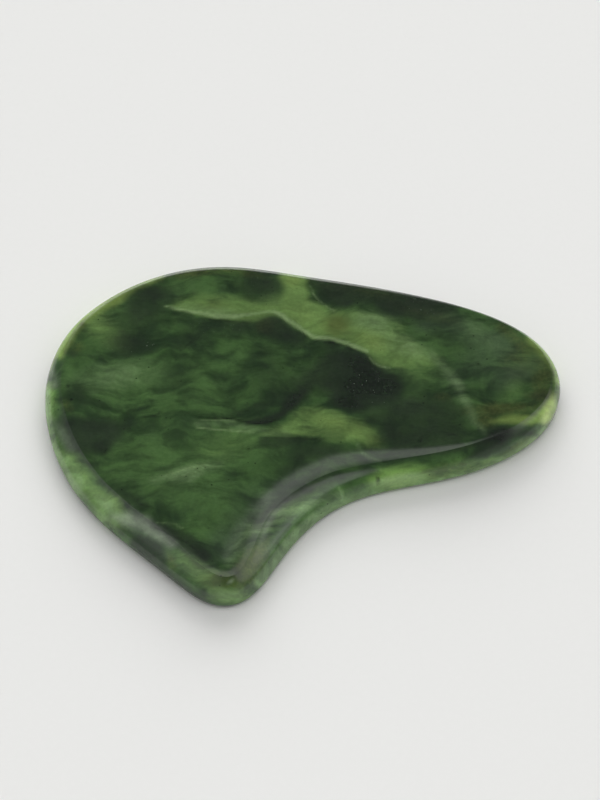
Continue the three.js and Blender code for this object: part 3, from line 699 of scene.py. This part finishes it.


# painted light: along the thin outer edge, where light passes through the stone, the colour is made paler
THIN_EDGE_LIGHT = step(T - SURFACE[:, 2], 0.02, 0.8) * (1 - step(from_edge(SURFACE[:, 0], SURFACE[:, 1]), 1.5, 7.0))
board.data.attributes.new("painted_thin_edge_light", "FLOAT", "POINT").data.foreach_set("value", THIN_EDGE_LIGHT.astype(np.float32))


# --------------------------------------------------------------------------
# Materials
# --------------------------------------------------------------------------

class Tree:
    """Short names for building a node tree."""

    def __init__(self, mat):
        mat.use_nodes = True
        self.t = mat.node_tree
        self.t.nodes.clear()

    def node(self, kind, **settings):
        n = self.t.nodes.new(kind)
        for k, v in settings.items():
            setattr(n, k, v)
        return n

    def put(self, socket, value):
        if isinstance(value, bpy.types.NodeSocket):
            self.t.links.new(value, socket)
        elif value is not None:
            socket.default_value = value

    def math(self, op, a, b=None, c=None, clamp=False):
        n = self.node("ShaderNodeMath", operation=op, use_clamp=clamp)
        for i, v in enumerate((a, b, c)):
            self.put(n.inputs[i], v)
        return n.outputs[0]

    def vmath(self, op, a, b=None, scale=None):
        n = self.node("ShaderNodeVectorMath", operation=op)
        self.put(n.inputs[0], a)
        self.put(n.inputs[1], b)
        if scale is not None:
            self.put(n.inputs["Scale"], scale)
        return n.outputs[0]

    def mapping(self, vector, loc=(0, 0, 0), rot=(0, 0, 0), scale=(1, 1, 1)):
        n = self.node("ShaderNodeMapping")
        self.put(n.inputs["Vector"], vector)
        n.inputs["Location"].default_value = loc
        n.inputs["Rotation"].default_value = [math.radians(a) for a in rot]
        n.inputs["Scale"].default_value = scale
        return n.outputs[0]

    def noise(self, vector, scale, detail=3.0, rough=0.5, distort=0.0):
        n = self.node("ShaderNodeTexNoise")
        self.put(n.inputs["Vector"], vector)
        n.inputs["Scale"].default_value = scale
        n.inputs["Detail"].default_value = detail
        n.inputs["Roughness"].default_value = rough
        n.inputs["Distortion"].default_value = distort
        return n

    def ramp(self, value, lo, hi, to_lo=0.0, to_hi=1.0):
        n = self.node("ShaderNodeMapRange", interpolation_type="SMOOTHSTEP", clamp=True)
        self.put(n.inputs["Value"], value)
        n.inputs["From Min"].default_value = lo
        n.inputs["From Max"].default_value = hi
        n.inputs["To Min"].default_value = to_lo
        n.inputs["To Max"].default_value = to_hi
        return n.outputs[0]

    def mix(self, fac, a, b, blend="MIX"):
        n = self.node("ShaderNodeMix", data_type="RGBA", blend_type=blend)
        self.put(n.inputs["Factor"], fac)
        self.put(n.inputs[6], a)
        self.put(n.inputs[7], b)
        return n.outputs[2]


def rgb(r, g, b):
    return (r, g, b, 1.0)


def jade_material():
    mat = bpy.data.materials.new("polished_jade")
    s = Tree(mat)
    out = s.node("ShaderNodeOutputMaterial")
    bsdf = s.node("ShaderNodeBsdfPrincipled")
    s.t.links.new(bsdf.outputs[0], out.inputs["Surface"])

    coords = s.node("ShaderNodeTexCoord").outputs["Object"]
    mm = s.vmath("SCALE", coords, scale=1000.0)

    # the fibres of the stone flow round its patches
    flow = s.noise(mm, 0.085, 2.0, 0.5).outputs["Color"]
    flow = s.vmath("SCALE", s.vmath("SUBTRACT", flow, (0.5, 0.5, 0.5)), scale=9.0)
    bent = s.vmath("ADD", mm, flow)
    along = s.mapping(bent, rot=(0, 0, -14), scale=(0.34, 1.0, 0.9))
    fibre = s.noise(along, 0.42, 4.0, 0.52).outputs[0]              # 2 to 8 mm streaks
    fine = s.noise(s.mapping(bent, rot=(0, 0, -20), scale=(0.22, 1.0, 1.0)), 1.5, 3.0, 0.55).outputs[0]
    cloud = s.noise(bent, 0.15, 3.0, 0.52).outputs[0]               # 6 mm clouds
    fleck = s.noise(mm, 1.6, 4.0, 0.60).outputs[0]                  # sub-millimetre mottle

    marks = {}
    for name, kinds in GROUPS.items():
        a = s.node("ShaderNodeAttribute", attribute_type="GEOMETRY", attribute_name=name)
        xyz = s.node("ShaderNodeSeparateXYZ")
        s.t.links.new(a.outputs["Vector"], xyz.inputs[0])
        for i, k in enumerate(kinds):
            marks[k] = xyz.outputs[i]

    def ragged(kind, by, amount):
        """The mark with its border broken up by a noise."""
        c = marks[kind]
        bite = s.math("MULTIPLY", s.math("SUBTRACT", by, 0.5), amount)
        room = s.math("MULTIPLY", c, s.math("SUBTRACT", 1.0, c))
        return s.math("MULTIPLY_ADD", bite, room, c, clamp=True)

    # ground: dark to mid green in clouds and streaks
    ground = s.math("ADD", s.math("MULTIPLY", cloud, 0.62), s.math("MULTIPLY", fibre, 0.38))
    colour = s.mix(s.ramp(ground, 0.38, 0.64), rgb(0.016, 0.036, 0.014), rgb(0.040, 0.086, 0.025))
    colour = s.mix(s.math("MULTIPLY", ragged("mid", fibre, 5.0), 0.75), colour, rgb(0.066, 0.134, 0.040))
    colour = s.mix(s.math("MULTIPLY", ragged("blue", cloud, 4.0), 0.70), colour, rgb(0.046, 0.068, 0.045))
    colour = s.mix(s.math("MULTIPLY", ragged("light", fibre, 5.5), 0.94), colour, rgb(0.122, 0.208, 0.061))
    colour = s.mix(s.math("MULTIPLY", ragged("pale", fibre, 5.0), 0.80), colour, rgb(0.150, 0.228, 0.108))
    # lime: the stone's own colour in places, painted light along the thin rim
    colour = s.mix(s.math("MULTIPLY", ragged("lime", cloud, 4.0), 0.85), colour, rgb(0.185, 0.270, 0.070))
    colour = s.mix(s.math("MULTIPLY", ragged("brown", fleck, 5.0), 0.75), colour, rgb(0.066, 0.082, 0.022))
    colour = s.mix(s.math("MULTIPLY", ragged("dark", fibre, 5.5), 0.96), colour, rgb(0.0085, 0.0160, 0.0085))
    # painted reflection: grey sheen of the lights on the bevels
    colour = s.mix(s.math("MULTIPLY", ragged("painted_bevel_sheen", cloud, 3.0), 0.80), colour, rgb(0.170, 0.205, 0.155))
    # painted light: the thin rim glowing nearly white where light shines through
    colour = s.mix(s.math("MULTIPLY", ragged("painted_rim_glow", cloud, 3.0), 0.85), colour, rgb(0.380, 0.440, 0.200))
    colour = s.mix(s.math("MULTIPLY", ragged("line", fine, 4.0), 0.85), colour, rgb(0.190, 0.280, 0.125))
    colour = s.mix(s.math("MULTIPLY", ragged("crack", fine, 6.0), 0.90), colour, rgb(0.0035, 0.0072, 0.0042))

    # streaks and mottle over everything
    tone = s.ramp(fine, 0.28, 0.72, 0.94, 1.07)
    tone = s.math("MULTIPLY", tone, s.ramp(fleck, 0.30, 0.70, 0.93, 1.08))
    tone = s.math("MULTIPLY", tone, s.ramp(fibre, 0.32, 0.68, 0.86, 1.15))
    grey = s.node("ShaderNodeCombineColor")
    for i in range(3):
        s.t.links.new(tone, grey.inputs[i])
    colour = s.mix(1.0, colour, grey.outputs[0], "MULTIPLY")

    # painted light: colour brightened toward the thin outer edge, where light passes through
    thin = s.node("ShaderNodeAttribute", attribute_type="GEOMETRY", attribute_name="painted_thin_edge_light").outputs["Fac"]
    colour = s.mix(1.0, colour, s.mix(thin, rgb(1.0, 1.0, 1.0), rgb(1.62, 1.73, 1.52)), "MULTIPLY")

    # black specks, and pits with a painted glint of pale grey
    cells = s.node("ShaderNodeTexVoronoi", feature="F1")
    s.put(cells.inputs["Vector"], mm)
    cells.inputs["Scale"].default_value = 0.62
    keep = s.ramp(s.noise(mm, 0.21, 2.0).outputs[0], 0.50, 0.62)
    speck = s.math("MULTIPLY", s.ramp(cells.outputs["Distance"], 0.06, 0.15, 1.0, 0.0), keep)
    colour = s.mix(s.math("MULTIPLY", speck, 0.75), colour, rgb(0.006, 0.010, 0.006))
    dots = s.node("ShaderNodeTexVoronoi", feature="F1")
    s.put(dots.inputs["Vector"], mm)
    dots.inputs["Scale"].default_value = 1.9
    pit_glint = s.math("MULTIPLY", s.ramp(dots.outputs["Distance"], 0.10, 0.24, 1.0, 0.0),
                   s.ramp(s.noise(mm, 1.1, 2.0).outputs[0], 0.54, 0.62))
    pit_glint = s.math("MULTIPLY", pit_glint, marks["pits"])
    # painted highlight: pale glint in the pits
    colour = s.mix(s.math("MULTIPLY", pit_glint, 0.80), colour, rgb(0.30, 0.36, 0.28))
    s.put(bsdf.inputs["Base Color"], colour)

    # wax polish: even gloss, duller in the dark grain and the pits
    rough = s.math("ADD", s.ramp(fleck, 0.3, 0.7, 0.11, 0.16), s.math("MULTIPLY", marks["dark"], 0.05))
    rough = s.math("ADD", rough, s.math("MULTIPLY", pit_glint, 0.2), clamp=True)
    s.put(bsdf.inputs["Roughness"], rough)

    height = s.math("ADD", s.math("MULTIPLY", fine, 0.35), s.math("MULTIPLY", s.noise(mm, 0.55, 2.0).outputs[0], 1.0))
    height = s.math("SUBTRACT", height, s.math("MULTIPLY", pit_glint, 0.6))
    height = s.math("SUBTRACT", height, s.math("MULTIPLY", speck, 0.25))
    bump = s.node("ShaderNodeBump")
    bump.inputs["Strength"].default_value = 0.10
    bump.inputs["Distance"].default_value = 0.00012
    s.put(bump.inputs["Height"], height)
    s.put(bsdf.inputs["Normal"], bump.outputs[0])

    bsdf.inputs["IOR"].default_value = 1.57
    bsdf.inputs["Subsurface Weight"].default_value = 0.35
    bsdf.inputs["Subsurface Radius"].default_value = (0.8, 1.5, 0.6)
    bsdf.inputs["Subsurface Scale"].default_value = 0.0009
    return mat


jade = jade_material()
board.data.materials.append(jade)
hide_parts("jade_board")
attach(board, "root")

# --------------------------------------------------------------------------
# Floor, light and camera
# --------------------------------------------------------------------------


def floor_material():
    mat = bpy.data.materials.new("pale_floor")
    s = Tree(mat)
    out = s.node("ShaderNodeOutputMaterial")
    bsdf = s.node("ShaderNodeBsdfPrincipled")
    s.t.links.new(bsdf.outputs[0], out.inputs["Surface"])
    coords = s.node("ShaderNodeTexCoord").outputs["Object"]
    grain = s.noise(coords, 900.0, 3.0).outputs[0]
    s.put(bsdf.inputs["Base Color"], s.mix(grain, rgb(0.835, 0.835, 0.824), rgb(0.852, 0.852, 0.842)))
    bsdf.inputs["Roughness"].default_value = 0.85
    bsdf.inputs["Specular IOR Level"].default_value = 0.2
    return mat


bpy.ops.mesh.primitive_plane_add(size=6.0, location=(0, 0, CAD_LO.z))
floor = bpy.context.active_object
floor.name = "floor"
floor.data.materials.append(floor_material())
floor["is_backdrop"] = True


world = bpy.data.worlds.new("studio")
bpy.context.scene.world = world
world.use_nodes = True
w = world.node_tree
w.nodes.clear()


def w_node(kind, **settings):
    n = w.nodes.new(kind)
    for k, v in settings.items():
        setattr(n, k, v)
    return n


def w_range(value, lo, hi, to_lo, to_hi):
    n = w_node("ShaderNodeMapRange", interpolation_type="SMOOTHSTEP")
    for k, v in (("From Min", lo), ("From Max", hi), ("To Min", to_lo), ("To Max", to_hi)):
        n.inputs[k].default_value = v
    w.links.new(value, n.inputs["Value"])
    return n.outputs[0]


def w_towards(azimuth, elevation):
    """Cosine of the angle from one direction of the sky; azimuth 90 is +Y."""
    a, e = math.radians(azimuth), math.radians(elevation)
    n = w_node("ShaderNodeVectorMath", operation="DOT_PRODUCT")
    w.links.new(w_dir.outputs["Generated"], n.inputs[0])
    n.inputs[1].default_value = (math.cos(a) * math.cos(e), math.sin(a) * math.cos(e), math.sin(e))
    return n.outputs["Value"]


# white panels round the stone: overhead, behind and to both sides, with a dark
# gap between the one behind and the one overhead
w_dir = w_node("ShaderNodeTexCoord")
PANELS = (
    # azimuth, elevation, full to, gone at (degrees from the centre), strength
    (90, 84, 14, 24, 0.60),
    (90, 18, 12, 26, 1.10),
    (70, 26, 11, 25, 1.85),
    (110, 26, 11, 25, 1.85),
    (180, 42, 12, 34, 0.22),
    (0, 42, 12, 34, 0.45),
    (160, 55, 8, 22, 0.35),
    (20, 55, 8, 22, 0.40),
)
w_sum = w_range(w_towards(270, 20), -0.2, 0.9, 0.12, 0.30)
for az, el, inner, outer, amount in PANELS:
    one = w_range(w_towards(az, el), math.cos(math.radians(outer)), math.cos(math.radians(inner)), 0.0, amount)
    add = w_node("ShaderNodeMath", operation="ADD")
    w.links.new(w_sum, add.inputs[0])
    w.links.new(one, add.inputs[1])
    w_sum = add.outputs[0]
gap = w_range(w_towards(90, 57), math.cos(math.radians(17)), math.cos(math.radians(8)), 1.0, 0.3)
w_mul = w_node("ShaderNodeMath", operation="MULTIPLY")
w.links.new(w_sum, w_mul.inputs[0])
w.links.new(gap, w_mul.inputs[1])
front = w_range(w_towards(292, 50), math.cos(math.radians(36)), math.cos(math.radians(20)), 1.0, 0.30)
w_front = w_node("ShaderNodeMath", operation="MULTIPLY")
w.links.new(w_mul.outputs[0], w_front.inputs[0])
w.links.new(front, w_front.inputs[1])
w_all = w_node("ShaderNodeMath", operation="MULTIPLY")
w.links.new(w_front.outputs[0], w_all.inputs[0])
w_all.inputs[1].default_value = 1.70
w_bg = w_node("ShaderNodeBackground")
w_bg.inputs["Color"].default_value = (1.0, 1.0, 0.992, 1.0)
w.links.new(w_all.outputs[0], w_bg.inputs["Strength"])
w_out = w_node("ShaderNodeOutputWorld")
w.links.new(w_bg.outputs[0], w_out.inputs[0])

# camera: 57 degrees above the floor, 450 mm from the middle of the face
ELEVATION, DISTANCE, PER_MM = math.radians(57.0), 450.0, 5.15
focal_px = PER_MM * DISTANCE
forward = Vector((0, math.cos(ELEVATION), -math.sin(ELEVATION)))
right = Vector((1, 0, 0))
up = right.cross(forward)
middle = Vector((-0.173, -1.561, T / 2 + LO[2]))
place = middle - DISTANCE * (forward + (2.0 / focal_px) * right - (36.0 / focal_px) * up)
cam_data = bpy.data.cameras.new("camera")
cam_data.sensor_fit = "AUTO"
cam_data.sensor_width = 36.0
cam_data.lens = 36.0 * focal_px / 800.0
cam_data.clip_start, cam_data.clip_end = 0.02, 20.0
camera = bpy.data.objects.new("camera", cam_data)
camera.matrix_world = Matrix((
    (right.x, up.x, -forward.x, place.x * MM),
    (right.y, up.y, -forward.y, place.y * MM),
    (right.z, up.z, -forward.z, place.z * MM),
    (0, 0, 0, 1),
))
bpy.context.scene.collection.objects.link(camera)
bpy.context.scene.camera = camera

bpy.context.view_layer.update()
